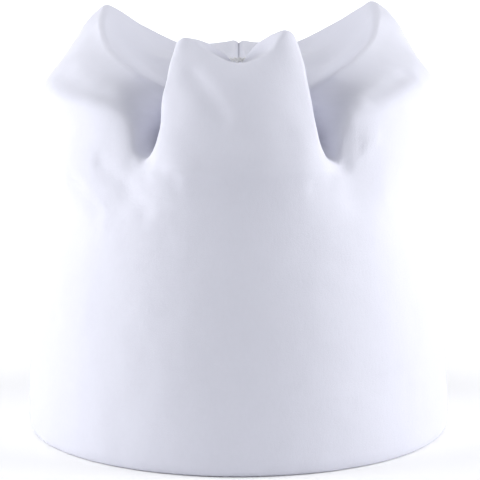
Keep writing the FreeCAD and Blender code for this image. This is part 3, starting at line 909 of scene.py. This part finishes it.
class TOQUE_OT_back_seam(bpy.types.Operator):
    """Makes the pressed seam allowance inside the centre back and the two rows outside it"""

    bl_idname = "toque.back_seam"
    bl_label = "Centre back seam"

    def execute(self, context):
        cloth = context.scene.toque_cloth
        low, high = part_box("back_seam_allowance")
        rows, columns, gap = 40, 19, 1.6
        grid = np.zeros((rows, columns, 3))
        for j, height in enumerate(np.linspace(low[2] / MM, high[2] / MM, rows)):
            wall = shell_behind(height) - cloth.fleece_thickness / MM - gap
            for i, x in enumerate(np.linspace(low[0], high[0], columns)):
                notch = 0.25 * math.cos(math.pi * j) if i in (0, columns - 1) else 0.0
                ridge = 0.35 * math.exp(-(x / MM) ** 2)
                grid[j, i] = (x + notch * MM * (1 if i else -1), (wall + ridge) * MM, height * MM)
        flat = np.broadcast_to((0.0, -1.0, 0.0), grid.shape)
        flap = sewn_patch("toque_seam_allowance", "shell_fleece", "back_seam_allowance",
                          grid, 0.7 * MM, flat)
        low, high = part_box("back_seam_stitching")
        proud = [0.12 - 0.75 * abs(2 * share - 1) ** 3 for share in LONG_STITCH]
        runs = []
        for x in (low[0] / MM + 0.35, high[0] / MM - 0.35):
            for heights in stitches_along(low[2] / MM, high[2] / MM, 15, LONG_STITCH):
                runs.append([np.array([x, shell_beside_back(x, height) + lift, height]) * MM
                             for height, lift in zip(heights, proud)])
        threads = thread_runs("toque_back_seam_rows", "back_seam_stitching", runs,
                              1.1 * cloth.thread_radius)
        return {"FINISHED"}


class TOQUE_OT_gather(bpy.types.Operator):
    """Makes the drawn thread and bar tack at the crown, and the cloth stay under them"""

    bl_idname = "toque.gather"
    bl_label = "Crown gather"

    def execute(self, context):
        low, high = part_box("crown_gather_thread")
        middle = high[0] / MM - 0.5
        height = (low[2] + high[2]) / 2 / MM
        run = [around(3.0 * k, middle + 0.15 * math.sin(0.7 * k),
                      height - 0.15 + 0.35 * math.sin(math.tau * k / 8)) for k in range(120)]
        loop = thread_runs("toque_gather_thread", "crown_gather_thread", [run], 0.35 * MM, True)
        low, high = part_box("crown_tack")
        middle = (low[2] + high[2]) / 2 / MM
        runs = []
        for i, x in enumerate(np.linspace(low[0] / MM + 0.35, high[0] / MM - 0.35, 13)):
            runs.append([np.array([x + 0.15 * math.sin(2 * i + k), 1.0 * math.cos(math.pi * k / 8),
                                   middle - 0.35 + 0.55 * math.sin(math.pi * k / 8)]) * MM
                         for k in range(9)])
        for y in (-0.4, 0.4):
            runs.append([np.array([low[0] / MM + 7 * k / 12, y, middle - 0.12]) * MM
                         for k in range(13)])
        tack = thread_runs("toque_crown_tack", "crown_tack", runs, 0.22 * MM)
        low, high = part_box("crown_stay")
        top = high[2] / MM
        profile = [(15.6, top - 0.55), (14, top - 0.45), (11, top - 0.35), (8, top - 0.4),
                   (5, top - 0.45), (2, top - 0.5), (0.6, top - 0.5)]
        upper = wavering(ring_grid(96, profile), 0.25, 6, 41.0)
        stay = sewn_tube("toque_crown_stay", "lining_jersey", "crown_stay",
                         upper, upper - np.array([0, 0, 0.7 * MM]), True)
        return {"FINISHED"}


class TOQUE_OT_stage(bpy.types.Operator):
    """Makes the plain floor, the soft lights and the camera"""

    bl_idname = "toque.stage"
    bl_label = "Stage"

    def execute(self, context):
        scene, stage = context.scene, context.scene.toque_stage
        mesh = bpy.data.meshes.new("floor")
        reach = 9.0
        mesh.from_pydata([(-reach, -reach, 0), (reach, -reach, 0), (reach, reach, 0),
                          (-reach, reach, 0)], [], [(0, 1, 2, 3)])
        floor = bpy.data.objects.new("floor", mesh)
        scene.collection.objects.link(floor)
        finish = Finish("studio_floor", {"Specular IOR Level": 0.1})
        place = finish.node("ShaderNodeTexCoord", {}, {})
        grains = finish.node("ShaderNodeTexNoise", {}, {
            "Vector": place.outputs["Object"], "Scale": 90.0, "Detail": 3.0})
        grain = Amount(finish, grains.outputs["Fac"])
        colour = tuple(stage.floor_colour)
        finish.set_colour(grain, shade(colour, 0.995), shade(colour, 1.0))
        finish.set_roughness(0.85 + grain * 0.1)
        finish.set_relief(grain, 0.05, 0.2)
        mesh.materials.append(finish.material)
        sky = bpy.data.worlds.new("studio")
        scene.world = sky
        sky.use_nodes = True
        light = sky.node_tree.nodes["Background"]
        light.inputs["Color"].default_value = (*stage.sky_colour, 1.0)
        light.inputs["Strength"].default_value = stage.sky_strength
        # where each light is and aims, its width in metres, power and spread in degrees
        lights = [((-1.0, -0.05, 0.45), (0, 0, 0.10), 0.8, stage.side_power, 180),
                  ((1.0, -0.05, 0.45), (0, 0, 0.10), 0.8, stage.side_power, 180),
                  ((0, -0.8, 1.3), (0, 0, 0.10), 0.9, stage.top_power, 180),
                  ((0, 2.3, 1.9), (0, 2.3, 0), 2.8, stage.floor_power, 76)]
        for spot, aim, width, power, spread in lights:
            lamp = bpy.data.lights.new("soft_light", "AREA")
            lamp.energy, lamp.size, lamp.spread = power, width, math.radians(spread)
            holder = bpy.data.objects.new("soft_light", lamp)
            scene.collection.objects.link(holder)
            holder.location = spot
            toward = Vector(aim) - holder.location
            holder.rotation_euler = toward.to_track_quat("-Z", "Y").to_euler()
        lens = bpy.data.cameras.new("camera")
        lens.lens, lens.sensor_width = 200.0, 36.0
        camera = bpy.data.objects.new("camera", lens)
        scene.collection.objects.link(camera)
        tilt, aim = stage.camera_elevation, Vector((0.0006, 0, 0.0858))
        back = Vector((0, -math.cos(tilt), math.sin(tilt)))
        camera.location = aim + back * stage.camera_distance
        camera.rotation_euler = (-back).to_track_quat("-Z", "Y").to_euler()
        scene.camera = camera
        scene.view_settings.view_transform = "Standard"
        return {"FINISHED"}


class TOQUE_PT_pieces(bpy.types.Panel):
    """Lists the pieces of the toque"""

    bl_label = "Chef toque"
    bl_space_type = "VIEW_3D"
    bl_region_type = "UI"
    bl_category = "Toque"

    def draw(self, context):
        for group in (context.scene.toque_cloth, context.scene.toque_stage):
            for name in group.bl_rna.properties.keys():
                if name not in ("rna_type", "name"):
                    self.layout.prop(group, name)
        for maker in MAKERS:
            self.layout.operator(maker.bl_idname)


MAKERS = (TOQUE_OT_stage, TOQUE_OT_shell, TOQUE_OT_hem, TOQUE_OT_sweatband, TOQUE_OT_lining,
          TOQUE_OT_care_label, TOQUE_OT_back_seam, TOQUE_OT_gather)
CLASSES = (ToqueCloth, ToqueStage, *MAKERS, TOQUE_PT_pieces)


def register():
    for kind in CLASSES:
        bpy.utils.register_class(kind)
    bpy.types.Scene.toque_cloth = PointerProperty(type=ToqueCloth)
    bpy.types.Scene.toque_stage = PointerProperty(type=ToqueStage)


def unregister():
    del bpy.types.Scene.toque_stage
    del bpy.types.Scene.toque_cloth
    for kind in reversed(CLASSES):
        bpy.utils.unregister_class(kind)


def main():
    register()
    for maker in MAKERS:
        group, name = maker.bl_idname.split(".")
        getattr(getattr(bpy.ops, group), name)()


if __name__ == "__main__":
    main()
